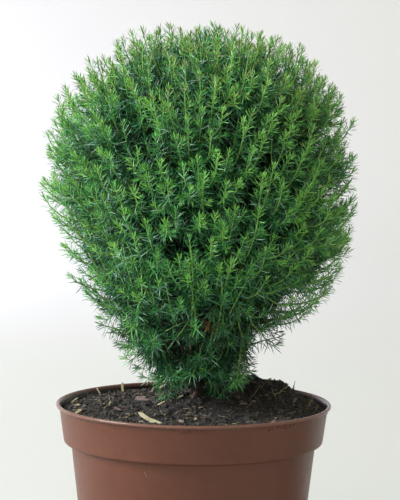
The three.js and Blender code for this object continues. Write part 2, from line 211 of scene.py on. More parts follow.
def cloudy_tone():
    """Group: a colour that drifts between two tones, in soft patches and in fine ones."""
    tree = bpy.data.node_groups.new("cloudy tone", "ShaderNodeTree")
    for way, kind, names in (
        ("INPUT", "Color", ("Tone", "Other Tone")),
        ("INPUT", "Float", ("Patches", "Fine Patches", "Contrast")),
        ("OUTPUT", "Color", ("Color",)),
        ("OUTPUT", "Float", ("Mask",)),
    ):
        for name in names:
            tree.interface.new_socket(name, in_out=way, socket_type="NodeSocket" + kind)
    given = tree.nodes.new("NodeGroupInput").outputs
    out = tree.nodes.new("NodeGroupOutput").inputs
    where = add_node(tree, "TexCoord").outputs["Object"]
    soft, fine = (
        add_node(tree, "TexNoise", {"Vector": where, "Scale": given[size], "Detail": 3}).outputs["Fac"]
        for size in ("Patches", "Fine Patches")
    )
    centred = worked_out(tree, "SUBTRACT", worked_out(tree, "ADD", soft, fine), 1.0)
    mask = worked_out(tree, "MULTIPLY_ADD", centred, given["Contrast"], 0.5, use_clamp=True)
    tree.links.new(mixed(tree, mask, given["Tone"], given["Other Tone"]), out["Color"])
    tree.links.new(mask, out["Mask"])
    return tree


cloudy = cloudy_tone()


def new_finish(name, roughness, specular=0.5):
    """A material with its shader's even values set, and the nodes for the caller to join."""
    material = bpy.data.materials.new(name)
    material.use_nodes = True
    tree = material.node_tree
    shader = next(node for node in tree.nodes if node.type == "BSDF_PRINCIPLED")
    shader.inputs["Roughness"].default_value = roughness
    shader.inputs["Specular IOR Level"].default_value = specular
    return material, tree, shader


def drifting(tree, tones, patches, fine_patches, contrast):
    """The shared drift, placed in a material with its own two tones."""
    first, second = ((*tone, 1) for tone in tones)
    look = {"Patches": patches, "Fine Patches": fine_patches, "Contrast": contrast}
    return add_node(tree, "Group", {"Tone": first, "Other Tone": second, **look}, node_tree=cloudy)


def cloudy_finish(name, tones, patches, fine_patches, contrast, roughness=0.88, specular=0.5):
    """A finish whose colour drifts between two tones, dull unless told otherwise."""
    material, tree, shader = new_finish(name, roughness, specular)
    drift = drifting(tree, tones, patches, fine_patches, contrast)
    tree.links.new(drift.outputs["Color"], shader.inputs["Base Color"])
    return material


def pot_plastic():
    """Moulded plastic, a little uneven in gloss, rubbed smooth on the lip with a painted highlight, and
    peat-stained and in painted shade inside.
    """
    material, tree, shader = new_finish("pot plastic", 0.36, 0.34)
    drift = drifting(tree, (pot_brown, pot_brown_light), 22, 160, 1.6)
    inner, rubbed_and_highlit = (
        add_node(tree, "Attribute", attribute_name=name).outputs["Fac"] for name in ("inside", "polish_and_highlight")
    )
    # The inner wall is mixed to near-black: peat stain, and painted shade inside the pot.
    stained_and_shaded = mixed(tree, inner, drift.outputs["Color"], pot_stain_and_shade)
    # Painted highlight: the lip is mixed towards a paler pink-brown, and it is also made smoother in
    # roughness.
    paler_with_highlight = mixed(tree, worked_out(tree, "MULTIPLY", rubbed_and_highlit, 0.55), stained_and_shaded, pot_rubbed_highlight)
    gloss = add_node(tree, "MapRange", {"Value": drift.outputs["Mask"], "To Min": 0.33, "To Max": 0.45})
    smoother = worked_out(tree, "MULTIPLY_ADD", rubbed_and_highlit, -0.15, gloss.outputs["Result"])
    tree.links.new(paler_with_highlight, shader.inputs["Base Color"])
    tree.links.new(smoother, shader.inputs["Roughness"])
    return material


shell = pot_shell()
cut_drain_holes(shell)
finish_piece(shell, pot_plastic())
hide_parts("pot")

# Soil: dark peat that fills the pot to 5 mm under the lip, heaped round the trunk and higher on the right
# behind it. It is crumbly, and cracks and lumps show where it has dried.

trunk_low, trunk_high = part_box("trunk")
tree_foot = np.array([0.0024, 0.002, trunk_low.z])
soil_edge = pot_height - 0.005
# Each heap: where its top lies in x and y, how far it spreads in both, and its height.
heaps = [
    (0.006, 0.006, 0.034, 0.03, 0.009),
    (0.036, 0.034, 0.024, 0.02, 0.013),
    (0.058, 0.046, 0.018, 0.022, 0.008),
]
seat_radius = 0.0065
soil_cells = 230
wall_share = (soil_edge - band_low - 0.002) / (lip_middle - band_low - 0.002)
soil_radius = band_low_radius + (band_top_radius - band_low_radius) * wall_share - pot_wall - 0.0003


def ease(value, low, high):
    """A share that eases from 0 at the low value to 1 at the high one."""
    share = np.clip((value - low) / (high - low), 0, 1)
    return share * share * (3 - 2 * share)


def soil_height(x, y):
    """The soil's level: the source's heaps, with the lumps and grains of peat on them."""
    clods = 0.0008 * sin(190 * x + 1) * cos(160 * y) + 0.0005 * sin(310 * y - 270 * x)
    heaped = 0.0
    for top_x, top_y, spread_x, spread_y, height in heaps:
        heaped += height * exp(-(((x - top_x) / spread_x) ** 2 + ((y - top_y) / spread_y) ** 2))
    inward = 1 - ease(hypot(x, y), 0.8 * rim_radius, 0.92 * rim_radius)
    lumps = 0.0026 * noise.fractal(Vector((x * 90, y * 90, 3.1)), 0.9, 2.1, 4)
    grains = 0.0022 * abs(noise.fractal(Vector((x * 330, y * 330, 7.7)), 0.8, 2.2, 3))
    level = soil_edge + heaped + clods * inward + (lumps + grains) * (0.45 + 0.55 * inward)
    opening = ease(hypot(x - tree_foot[0], y - tree_foot[1]), seat_radius, seat_radius + 0.0095)
    return tree_foot[2] - 0.0002 + (level - tree_foot[2] + 0.0002) * opening


def soil_block():
    bm = bmesh.new()
    bmesh.ops.create_grid(bm, x_segments=soil_cells, y_segments=soil_cells, size=rim_radius)
    outside = [v for v in bm.verts if hypot(v.co.x, v.co.y) > soil_radius]
    bmesh.ops.delete(bm, geom=outside, context="VERTS")
    rim = [edge for edge in bm.edges if edge.is_boundary]
    for vert in {v for edge in rim for v in edge.verts}:
        reach = soil_radius / hypot(vert.co.x, vert.co.y)
        vert.co.x *= reach
        vert.co.y *= reach
    for vert in bm.verts:
        vert.co.z = soil_height(vert.co.x, vert.co.y)
    for radius, z in ((neck_radius - pot_wall - 0.0004, neck), (base_radius - pot_wall - 0.0006, 0.0045)):
        made = bmesh.ops.extrude_edge_only(bm, edges=rim)
        for vert in [item for item in made["geom"] if isinstance(item, bmesh.types.BMVert)]:
            inward = radius / hypot(vert.co.x, vert.co.y)
            vert.co = (vert.co.x * inward, vert.co.y * inward, z)
        rim = [item for item in made["geom"] if isinstance(item, bmesh.types.BMEdge)]
    bmesh.ops.contextual_create(bm, geom=rim)
    bmesh.ops.recalc_face_normals(bm, faces=bm.faces)
    smooth_faces(bm)
    return piece_from(bm, "soil_block")


peat_black = (0.0055, 0.005, 0.0048)
peat_brown = (0.025, 0.02, 0.017)
peat_grey = (0.066, 0.062, 0.0625)

soil = soil_block()
finish_piece(soil, cloudy_finish("peat", (peat_black, peat_brown), 260, 1400, 3.0))
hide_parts("soil")

# Crumbs: loose lumps of peat and bark from half a millimetre to 3 mm across lie all over the soil, and a few
# white grains of perlite among them. Some specks of dirt stick to the pot under its lip.

soil_dice = np.random.default_rng(11)
crumb_count = 3400
crumb_colours = {
    "black_crumbs": (0.34, peat_black, (0.016, 0.013, 0.012)),
    "brown_crumbs": (0.34, (0.042, 0.031, 0.024), (0.02, 0.014, 0.011)),
    "grey_crumbs": (0.21, peat_grey, (0.04, 0.036, 0.034)),
    "red_crumbs": (0.1, (0.075, 0.035, 0.024), (0.035, 0.017, 0.013)),
    "perlite": (0.007, (0.62, 0.62, 0.6), (0.48, 0.47, 0.45)),
}


def unit_rows(vectors):
    return vectors / norm(vectors, axis=1)[:, None]


def random_frames(count):
    """Three random directions, square to each other, for each of many scraps."""
    first = unit_rows(soil_dice.normal(size=(count, 3)))
    second = unit_rows(np.cross(first, soil_dice.normal(size=(count, 3))))
    return np.stack([first, second, np.cross(first, second)], axis=1)


def places_on_soil(count):
    radius = np.sqrt(soil_dice.random(count)) * (soil_radius - 0.001)
    turn = 2 * pi * soil_dice.random(count)
    x, y = radius * np.cos(turn), radius * np.sin(turn)
    return np.stack([x, y, np.array([soil_height(*place) for place in zip(x, y)])], axis=1)


def shape_arrays(bm):
    """A small shape's vertices and triangles, for many copies."""
    bmesh.ops.triangulate(bm, faces=bm.faces)
    vertices = np.array([vert.co for vert in bm.verts])
    triangles = np.array([[vert.index for vert in face.verts] for face in bm.faces])
    bm.free()
    return vertices, triangles


def repeated(shape, places, frames, sizes, rough):
    """Copies of a shape, each placed, turned, scaled and made uneven in its own way."""
    vertices, triangles = shape
    uneven = vertices[None] * (1 + rough * soil_dice.normal(size=(len(places), len(vertices), 1)))
    copies = np.einsum("nvi,nij->nvj", uneven * sizes[:, None], frames) + places[:, None]
    joined = triangles[None] + len(vertices) * np.arange(len(places))[:, None, None]
    return copies.reshape(-1, 3), joined.reshape(-1, 3)


def piece_from_arrays(name, vertices, triangles, smooth=True):
    mesh = bpy.data.meshes.new(name)
    mesh.vertices.add(len(vertices))
    mesh.vertices.foreach_set("co", vertices.astype(np.float32).ravel())
    mesh.loops.add(3 * len(triangles))
    mesh.loops.foreach_set("vertex_index", triangles.astype(np.int32).ravel())
    mesh.polygons.add(len(triangles))
    mesh.polygons.foreach_set("loop_start", np.arange(0, 3 * len(triangles), 3, dtype=np.int32))
    mesh.polygons.foreach_set("use_smooth", np.full(len(triangles), smooth))
    mesh.update()
    mesh.validate()
    return new_object(name, mesh)


def litter(name, arrays, tones, patches=300, fine_patches=1500, contrast=2.5, smooth=False):
    """One piece of many small scraps of peat, wood or straw."""
    finish = cloudy_finish(name.replace("_", " "), tones, patches, fine_patches, contrast)
    finish_piece(piece_from_arrays(name, *arrays, smooth), finish)


lump_bm = bmesh.new()
bmesh.ops.create_icosphere(lump_bm, subdivisions=1, radius=1)
lump = shape_arrays(lump_bm)

for name, (share, *tones) in crumb_colours.items():
    count = int(share * crumb_count)
    places = places_on_soil(count)
    size = 0.0003 + 0.0011 * soil_dice.random(count) ** 2.5
    if name == "perlite":
        size = 0.6 * size
    places[:, 2] += 0.35 * size
    sizes = size[:, None] * (0.7 + 0.6 * soil_dice.random((count, 3)))
    litter(name, repeated(lump, places, random_frames(count), sizes, 0.16), tones)

speck_spans = ((-62, -42, 16), (-92, -84, 6), (-180, 180, 40))
speck_turns = np.radians(np.concatenate([soil_dice.uniform(*span) for span in speck_spans]))
speck_circle = band_top_radius - 0.0001
speck_heights = lip_middle - 0.0021 - 0.0022 * soil_dice.random(len(speck_turns)) ** 2
specks_round = [speck_circle * np.cos(speck_turns), speck_circle * np.sin(speck_turns)]
specks_at = np.stack([*specks_round, speck_heights], axis=1)
speck_sizes = 0.00035 * (0.5 + soil_dice.random((len(specks_at), 3)))
specks = repeated(lump, specks_at, random_frames(len(specks_at)), speck_sizes, 0.2)
litter("dirt_under_lip", specks, (peat_black, peat_brown))

# Chips and fibres: splinters of pale wood and of bark, and thin straw-coloured fibres of the peat. They lie
# flat or lean where they fell, and a few stand up out of the soil.

chip_thickness = 0.0009
fallen_chips = 130
woods = 3 * ["bark"] + 3 * ["pink"] + 2 * ["grey"] + ["pale"]
# Each named chip: its two ends, as x, y and height over the soil in millimetres, its width and its wood.
named_chips = [
    ((-36.5, -50, 6.6), (-23.8, -65, 0.8), 3.1, "pale"),
    ((-31, -56, 3.4), (-20.5, -64, 1), 2.2, "pale"),
    ((-25, -12, 0.6), (-19.5, -6, 3), 2, "pale"),
    ((-28, 30, 1.8), (-20.5, 36, 2.2), 3.4, "pink"),
    ((-42.7, 30, 2), (-33.5, 22.5, 1.2), 4, "pink"),
    ((7.5, -20, 1.2), (26.2, 2, 2.2), 5.6, "bark"),
    ((22.5, 33, 1.2), (42.5, 30, 5), 8, "bark"),
    ((-51.6, 64, 7.2), (-51.4, 64.8, -1), 1.8, "pale"),
    ((-69.7, 56, 5.2), (-66.2, 55.6, -1), 1.2, "pale"),
    ((69.4, 16.7, 1), (72.2, 20, 3), 2.2, "pink"),
    ((-1.2, -8.5, 0.8), (1.6, -5.5, 4.4), 2.4, "pink"),
    ((-40, 12, 0.8), (-31, 9, 2.6), 3, "pink"),
    ((-85, 20, 1), (-81.5, 30, 1.6), 1.1, "pale"),
]
chip_colours = {
    "pale": ((0.42, 0.37, 0.24), (0.27, 0.23, 0.13)),
    "pink": ((0.2, 0.145, 0.125), (0.12, 0.08, 0.07)),
    "grey": ((0.13, 0.118, 0.11), (0.07, 0.062, 0.058)),
    "bark": ((0.05, 0.04, 0.046), (0.024, 0.019, 0.021)),
}
chip_bm = bmesh.new()
chip_outline = [(-0.5, 0.12), (-0.28, 0.5), (0.34, 0.42), (0.5, -0.1), (0.26, -0.5), (-0.36, -0.38)]
chip_bm.faces.new([chip_bm.verts.new((x, y, -0.5)) for x, y in chip_outline])
raised = bmesh.ops.extrude_face_region(chip_bm, geom=chip_bm.faces[:])["geom"]
bmesh.ops.translate(chip_bm, vec=(0, 0, 1), verts=[v for v in raised if isinstance(v, bmesh.types.BMVert)])
bmesh.ops.recalc_face_normals(chip_bm, faces=chip_bm.faces)
chip = shape_arrays(chip_bm)


def over_soil(place):
    x, y, lift = 0.001 * np.array(place)
    return np.array([x, y, soil_height(x, y) + lift])


chips = {wood: [] for wood in chip_colours}
for start, stop, width, wood in named_chips:
    chips[wood].append((over_soil(start), over_soil(stop), 0.001 * width))
for i in range(fallen_chips):
    start = places_on_soil(1)[0]
    turn = 2 * pi * soil_dice.random()
    length = 0.0025 + 0.0055 * soil_dice.random() ** 2
    run = np.array([cos(turn), sin(turn), 0.35 * soil_dice.normal()])
    start[2] += 0.0008
    wood = woods[int(len(woods) * soil_dice.random())]
    chips[wood].append((start, start + length * run / norm(run), 0.28 * length + 0.0004))

for wood, tones in chip_colours.items():
    starts, stops, widths = (np.array(values) for values in zip(*chips[wood]))
    spans = norm(stops - starts, axis=1)
    along = (stops - starts) / spans[:, None]
    side = unit_rows(np.cross(along, (0, -0.35, 1.0) + 0.25 * soil_dice.normal(size=along.shape)))
    frames = np.stack([along, side, np.cross(along, side)], axis=1)
    sizes = np.stack([spans, widths, np.full(len(spans), chip_thickness)], axis=1)
    litter(f"{wood}_chips", repeated(chip, (starts + stops) / 2, frames, sizes, 0.07), tones, 250, 1600)


def frame_of(points):
    """The way a line runs at each of its points, and two directions square to that."""
    along = unit_rows(np.gradient(points, axis=0))
    guide = np.array([0, 0, 1.0]) if abs(along[len(along) // 2, 2]) < 0.85 else np.array([1.0, 0, 0])
    side = unit_rows(np.cross(along, guide))
    return along, side, np.cross(along, side)


def tube_arrays(lines, radii, sides):
    """Closed tubes along lines, with one radius to each point."""
    vertices, triangles, count = [], [], 0
    turns = np.arange(sides) * 2 * pi / sides
    for line, radius in zip(lines, radii):
        along, side, across = frame_of(line)
        ring = np.cos(turns)[:, None] * side[:, None] + np.sin(turns)[:, None] * across[:, None]
        rings = (line[:, None] + ring * np.asarray(radius)[:, None, None]).reshape(-1, 3)
        steps = len(line) - 1
        first, around = np.arange(steps)[:, None] * sides, np.arange(sides)
        base, ahead = (first + around).ravel(), (first + (around + 1) % sides).ravel()
        walls = np.concatenate([
            np.stack([base, ahead + sides, ahead], 1),
            np.stack([base, base + sides, ahead + sides], 1),
        ])
        fan = np.arange(1, sides - 1)
        foot_cap = np.stack([0 * fan, fan, fan + 1], 1)
        tip_cap = np.stack([0 * fan, fan + 1, fan], 1) + steps * sides
        vertices.append(rings)
        triangles.append(np.concatenate([walls, foot_cap, tip_cap]) + count)
        count += len(rings)
    return np.concatenate(vertices), np.concatenate(triangles)


fibre_colours = {
    "straw_fibres": (0.36, (0.33, 0.27, 0.14), (0.19, 0.15, 0.075)),
    "grey_fibres": (0.32, (0.22, 0.2, 0.175), (0.12, 0.105, 0.092)),
    "rusty_fibres": (0.32, (0.11, 0.06, 0.036), (0.05, 0.028, 0.018)),
    "green_sprigs": (0.0, (0.13, 0.15, 0.055), (0.07, 0.08, 0.035)),
}
# Each named fibre: its two ends, as x, y and height over the soil in millimetres.
named_fibres = {
    "straw_fibres": [
        ((38.4, 7, 0.8), (47.5, 15, 7.5)),
        ((56.5, 12.5, 1), (65, 23, 6.8)),
        ((35, -12.6, 1), (40.7, -5.2, 1.6)),
        ((-46.7, -41.5, 1), (-40, -43.2, 1.4)),
        ((80, 6, 0.2), (83.2, 13.2, 6.2)),
        ((-61.6, -12, 0.8), (-57.6, -6, 1.6)),
        ((-85.2, 13, 0.4), (-81.2, 18, 2)),
        ((-68, 16, 0.6), (-62.5, 15, 1.2)),
    ],
    "grey_fibres": [
        ((54.4, 18, 5), (57.4, 14, 1.2)),
        ((-69.4, 25.7, 1), (-63.1, 19.5, 1.4)),
        ((-49.4, -44, 0.2), (-49.7, -45, 3.8)),
        ((-50, -45, 2.2), (-48.2, -45.5, 4.2)),
    ],
    "green_sprigs": [
        ((70, 49, -1), (72.2, 49, 7.8)),
        ((70.8, 48, -1), (71.6, 48, 5.2)),
        ((81.2, 26, -1), (81.5, 26, 4)),
    ],
}
fibre_count = 520
fibre_points = 6
along_fibre = np.linspace(0, 1, fibre_points)
tapering = np.linspace(1, 0.5, fibre_points)

for name, (share, *tones) in fibre_colours.items():
    lines = []
    named = named_fibres.get(name, [])
    for ends in named:
        start, stop = (over_soil(end) for end in ends)
        uneven = 0.0004 * soil_dice.normal(size=(fibre_points, 3))
        lines.append(np.linspace(start, stop, fibre_points) + uneven)
    for start in places_on_soil(int(share * fibre_count)):
        turn = 2 * pi * soil_dice.random()
        bend = 1.2 * soil_dice.normal()
        rise = abs(0.6 * soil_dice.normal()) if soil_dice.random() < 0.12 else 0.05 * soil_dice.normal()
        length = 0.0025 + 0.0085 * soil_dice.random() ** 2 / (1 + 2 * rise**2)
        turns = turn + bend * along_fibre
        run = np.stack([np.cos(turns), np.sin(turns), np.full(fibre_points, rise)], axis=1)
        run *= length / (fibre_points - 1)
        line = start + np.cumsum(run, axis=0) - run[0]
        level = np.array([soil_height(x, y) for x, y in line[:, :2]])
        line[:, 2] = np.maximum(line[:, 2] + 0.0006, level + 0.0002)
        if np.hypot(line[:, 0], line[:, 1]).max() < soil_radius:
            lines.append(line)
    radii = []
    for i in range(len(lines)):
        thicker = 0.0002 if i < len(named) else 0
        radii.append(tapering * (0.00014 + 0.0002 * soil_dice.random() + thicker))
    litter(name, tube_arrays(lines, radii, 3), tones, contrast=2.0, smooth=True)

# One more fibre has dried on to the pot's side, under the band at the front left.

stuck = [(-0.0315, 0.1125), (-0.0306, 0.1112), (-0.03, 0.1096), (-0.029, 0.1081)]
wall_at = [np.interp(z, (0, neck), (base_radius, neck_radius)) + 0.0001 for x, z in stuck]
stuck_line = np.array([[x, -sqrt(radius**2 - x**2), z] for (x, z), radius in zip(stuck, wall_at)])
stuck_fibre = tube_arrays([stuck_line], [[0.00022, 0.0003, 0.0003, 0.0002]], 4)
litter("stuck_fibre", stuck_fibre, ((0.3, 0.24, 0.15), (0.17, 0.13, 0.08)), contrast=2.0, smooth=True)

# Growth: the rule by which the shrub fills its crown. The crown's outline is a surface of turning, masses of
# foliage share the space under it, and each shoot belongs to the mass whose middle is nearest.

crown_radius = 0.109
crown_height = 0.26
crown_foot = -0.004
crown_widest = 0.158
leader_height = trunk_high.z - trunk_low.z
lean = 0.0032
low_bulge = 0.006
low_bulge_heights = (0.02, 0.04, 0.075)
high_bulge = 0.0046
high_bulge_heights = (0.105, 0.15)
top_sway = 0.0042
top_sway_heights = (0.195, 0.235)
fork = np.array([0.0006, 0, 0.01])
golden_angle = pi * (3 - sqrt(5))
mass_count = 20
middle_depth = 0.038
core_depth = 0.024


def unit(vector):
    return vector / norm(vector)


def outline_radius(z):
    """Half an ellipse above the crown's widest place, and a fuller cone below it."""
    above = np.asarray(z) > crown_widest
    span = np.where(above, crown_height - crown_widest, crown_widest - crown_foot)
    share = np.minimum(1.0, np.abs(z - crown_widest) / span)
    return crown_radius * (1 - share**2) ** np.where(above, 0.5, 0.78)


def trunk_lean(z):
    return lean * ease(z, crown_foot, 0.04)


def crown_middle(z):
    """Low down and again above its waist the crown bulges to the left, and its top sways right."""
    grown, fading, gone = low_bulge_heights
    low = ease(z, crown_foot, grown) - ease(z, fading, gone)
    high = top_sway * ease(z, *top_sway_heights) - high_bulge * ease(z, *high_bulge_heights)
    return trunk_lean(z) - low_bulge * low + high


outline_heights = np.arange(crown_height, crown_foot + 0.008 - 1e-9, -0.002)
outline_radii = outline_radius(outline_heights)
bands = np.hypot(np.diff(outline_heights), np.diff(outline_radii)) * (outline_radii[1:] + outline_radii[:-1])
outline_areas = np.concatenate([[0], np.cumsum(bands)])


def crown_surface(share, turn):
    """The crown's surface at a share of its area and a turn round it: the point, and the way it faces."""
    z = float(np.interp(share * outline_areas[-1], outline_areas, outline_heights))
    radius = float(outline_radius(z))
    slope = float(outline_radius(z - 0.001) - outline_radius(z + 0.001)) / 0.002
    facing = unit(np.array([cos(turn), sin(turn), slope]))
    point = np.array([crown_middle(z) + radius * cos(turn), radius * sin(turn), z])
    return point, facing


def depth_in_crown(points):
    """How far each point lies under the crown's surface, and 0 for one outside it."""
    x, y, z = np.asarray(points, float).T
    from_middle = np.hypot(x - crown_middle(z), y)
    rise = outline_heights - z[..., None]
    depth = np.hypot(rise, outline_radii - from_middle[..., None]).min(axis=-1)
    return np.where(from_middle < outline_radius(z), depth, 0.0)


def mass_middle(m):
    point, facing = crown_surface(0.92 * m / (mass_count - 1), 0.4 + m * golden_angle)
    to_axis = hypot(point[0], point[1]) / hypot(facing[0], facing[1])
    return point - facing * (middle_depth if m == 0 else min(middle_depth, 0.5 * to_axis))


middles = [mass_middle(m) for m in range(mass_count)]
beside_trunk = [np.array([trunk_lean(z), 0, z]) for z in np.arange(fork[2], leader_height + 1e-9, 0.016)]


def depth_in_mass(m, point):
    """How far a point lies inside the planes half way from a mass to the others and the trunk."""
    others = [middle for other, middle in enumerate(middles) if other != m] + beside_trunk
    return min(unit(middles[m] - place) @ (point - (middles[m] + place) / 2) for place in others)


# Trunk and boughs: a short reddish-brown trunk, flared at the soil, that runs up through the foliage, and a
# bough for each mass that climbs beside it and turns out. The bark is thin and splits into narrow strips.

trunk_radius = 0.0032
buried = 0.008
trunk_controls = [(-0.0006, 0, -buried), (0.002, 0, 0.05), (0.0035, 0, 0.11), (lean, 0, leader_height)]
trunk_tip = 0.0012
trunk_flare = 0.0022
bough_radius = 0.0015
bough_tip = 0.0011
path_points = 50
bark_relief = 0.00022


def lengths_of(line):
    """How far along a line each of its points lies."""
    return np.concatenate([[0], np.cumsum(norm(np.diff(line, axis=0), axis=1))])


def found_at(at, lengths, values):
    """The values that a line's points carry, at other places along it."""
    return np.stack([np.interp(at, lengths, values[:, axis]) for axis in range(3)], axis=-1)


def along_curve(controls, shares):
    """Points of a cubic curve at shares of its length."""
    t = np.linspace(0, 1, 49)[:, None]
    a, b, c, d = (np.asarray(point, float) for point in controls)
    fine = (1 - t) ** 3 * a + 3 * (1 - t) ** 2 * t * b + 3 * (1 - t) * t**2 * c + t**3 * d
    lengths = lengths_of(fine)
    return found_at(np.asarray(shares) * lengths[-1], lengths, fine)


def bough_of(m):
    """Where a mass's bough starts, the way it enters the mass, and where it ends."""
    height = fork[2] + 0.0033 * (mass_count - 1 - m)
    start = along_curve(trunk_controls, [(buried + height) / (buried + leader_height)])[0]
    level = 0.75 + (0.3 - 0.75) * m / (mass_count - 1)
    on_axis = np.array([lean, 0, middles[m][2]])
    heading = unit(middles[m] - (start + (on_axis - start) * level))
    entry = middles[m]
    while depth_in_mass(m, entry) > 0.00045 and depth_in_crown(entry) > core_depth:
        entry = entry - 0.0005 * heading
    entry = entry - 0.003 * heading
    return start, heading, entry


def limb_curve(spline_points, radii, data):
    spline = data.splines.new("POLY")
    spline.points.add(len(spline_points) - 1)
    for point, place, radius in zip(spline.points, spline_points, radii):
        point.co = (*(place + tree_foot), 1)
        point.radius = radius


mass_limbs = []
for m in range(mass_count):
    if m == 0:
        entry, heading = np.array([lean, 0, leader_height]), np.array([0, 0, 1.0])
        path = along_curve(trunk_controls, np.linspace(0.2, 1, path_points))
    else:
        start, heading, entry = bough_of(m)
        span = norm(entry - start)
        outward = unit((entry - start) * (1, 1, 0))
        rising = unit(outward + (0, 0, 1))
        controls = [start, start + rising * 0.35 * span, entry - heading * 0.35 * span, entry]
        path = along_curve(controls, np.linspace(0, 1, path_points))
    mass_limbs.append({"path": path, "heading": heading, "entry": entry, "middle": middles[m]})


def bark_limbs():
    """The trunk and boughs in one mesh, as tubes along their curves, with the bark's relief."""
    data = bpy.data.curves.new("limbs", "CURVE")
    data.dimensions = "3D"
    data.bevel_depth = 1
    data.bevel_resolution = 6
    data.use_fill_caps = True
    shares = np.linspace(0.04, 1, 150) ** 1.2
    points = along_curve(trunk_controls, shares)
    points = points[points[:, 2] > 0.0001]
    points[0, 2] = 0.0002
    radii = trunk_radius + (trunk_tip - trunk_radius) * points[:, 2] / leader_height
    limb_curve(points, radii + trunk_flare * np.exp(-points[:, 2] / 0.003), data)
    for limb in mass_limbs[1:]:
        limb_curve(limb["path"], np.linspace(bough_radius, bough_tip, path_points), data)
    curve = bpy.data.objects.new("limbs", data)
    bm = bmesh.new()
    bm.from_mesh(curve.to_mesh())
    bpy.data.objects.remove(curve)
    bm.normal_update()
    for vert in bm.verts:
        x, y, z = vert.co
        strips = noise.fractal(Vector((x * 750, y * 750, z * 110)), 0.8, 2.2, 3)
        vert.co += vert.normal * bark_relief * strips
        vert.co.z = max(vert.co.z, tree_foot[2])
    smooth_faces(bm)
    return piece_from(bm, "bark_limbs")


bark_red = (0.026, 0.012, 0.009)
bark_grey = (0.055, 0.032, 0.024)
limbs = bark_limbs()
finish_piece(limbs, cloudy_finish("bark", (bark_red, bark_grey), 300, 1300, 2.4, 0.85))
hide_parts("trunk", *[f"bough_{m + 1:02d}" for m in range(1, mass_count)])

# Twigs and shoots: leafy leaders fan out from the boughs and carry side shoots, which fork off at a sharp
# angle and mostly stay short. Their bark is brown near the bough, and light green among the needles.

outer_sprays = 760
inner_sprays = 640
shaded_sprays = 560
climbers = 42
hanging_sprays = 160
dice = np.random.default_rng(2027)
leafy_length = 0.052
shaded_leafy = 0.04
climber_leafy = 0.075
hanging_leafy = 0.026
low_leafy = 0.032
longest_side = 0.03
woody_radius = 0.0008
green_radius = 0.00062
side_radius = 0.00042
tip_radius = 0.00022
light_patches = 48


def upward(least, most):
    """A pull towards the light, of a random strength."""
    return np.array([0, 0, least + (most - least) * dice.random()])


def lowness(height):
    return 1 - ease(height, 0.025, 0.125)


def grow_leader(point, inward=0):
    """A leader from its mass's bough or stem, which ends some way short of a point, and its length."""
    m = min(range(mass_count), key=lambda other: norm(point - middles[other]))
    limb = mass_limbs[m]
    flatter = 0.45 * ease(-point[0], 0.03, 0.085)
    direction = unit(unit(point - fork) + upward(0.1 - flatter, 0.85 - flatter) + 0.12 * dice.normal(size=3))
    tip = point - direction * inward
    root = limb["entry"] + (limb["middle"] - limb["entry"]) * dice.random()
    if dice.random() < 0.6 * (1 - lowness(point[2])):
        root = limb["path"][int((path_points - 1) * (0.6 + 0.4 * dice.random()))]
    span = norm(tip - root)
    leaving = unit(limb["heading"] + 0.7 * (tip - root) / span)
    controls = [root, root + leaving * 0.3 * span, tip - direction * 0.42 * span, tip]
    return along_curve(controls, np.linspace(0, 1, 11)), span


def grow_side(line, behind, length, turn):
    """A side shoot that leaves a leader some way behind its tip, and turns forward."""
    lengths = lengths_of(line)
    at = lengths[-1] - behind
    foot, heading, flank, lift = (found_at(at, lengths, values) for values in (line, *frame_of(line)))
    out = cos(turn) * flank + sin(turn) * lift
    leaving = unit(heading + 0.75 * out)
    ending = unit(heading + 0.26 * out + upward(0.05, 0.35) + 0.12 * dice.normal(size=3))
    tip = foot + unit(leaving + ending) * length * 0.97
    controls = [foot, foot + leaving * 0.35 * length, tip - ending * 0.35 * length, tip]
    return along_curve(controls, np.linspace(0, 1, 5))


shoots = []


def add_shoot(line, leafy, radius, low, vigour=1.0):
    """Keeps a shoot: how far it is leafy, how low it stands, how strong it grows, and its light."""
    vigour *= 0.8 + 0.4 * dice.random()
    shoot = {"line": line, "leafy": leafy, "radius": radius, "low": low, "vigour": vigour}
    shoots.append({**shoot, "light": noise.noise(Vector(line[-1] * light_patches))})


def hides_trunk(line):
    """Whether a shoot would hang before the trunk's foot, which shows from the front."""
    return bool(np.any((line[:, 2] < 0.02) & (line[:, 1] < 0.001) & (np.abs(line[:, 0]) < 0.0085)))


def held_back(point):
    """How far shoots end inside the crown's outline: most low down, where it is slimmer."""
    x, z = point[0], point[2]
    waist = (1 - ease(z, 0.115, 0.15)) * (0.6 + 0.4 * ease(z, 0.035, 0.06))
    left = ease(-x, 0.02, 0.055) * (0.0046 + 0.0078 * waist)
    right = ease(x, 0.015, 0.045) * 0.025 * (1 - ease(z, 0.045, 0.1))
    shoulder = ease(z, 0.18, 0.215) * (0.003 + 0.0045 * ease(-x, 0.02, 0.055))
    crest = 0.006 * ease(z, 0.247, 0.257) * (1 - ease(abs(x), 0.012, 0.03))
    return left + right - shoulder + crest


def sticks_out(tip):
    """Whether a shoot would end past the crown's slim foot, over the open peat at the sides."""
    x, z = tip[0], tip[2]
    return z < 0.055 and (x > 0.037 + 1.3 * max(0, z - 0.026) or -x > 0.039 + 1.4 * max(0, z - 0.021))


def add_spray(line, leafy, low, apart=1.0):
    """A leader and its side shoots: one in four reaches nearly as far, and the rest are short."""
    if sticks_out(line[-1]):
        return
    vigour = 0.45 + 1.25 * dice.random()
    add_shoot(line, leafy, green_radius, low, vigour)
    behind = 0.011 + 0.008 * dice.random()
    turn = 2 * pi * dice.random()
    while behind < leafy - 0.002:
        reach = 0.72 + 0.16 * dice.random() if dice.random() < 0.25 else 0.32 + 0.22 * dice.random()
        length = min(longest_side, behind * reach)
        side = grow_side(line, behind, length, turn)
        free = depth_in_crown(side[-1]) > 0.003 + held_back(side[-1])
        if free and not hides_trunk(side) and not sticks_out(side[-1]):
            add_shoot(side, 0.97 * length, side_radius, low, vigour)
        turn += golden_angle
        behind += apart * (0.0065 + 0.005 * dice.random())


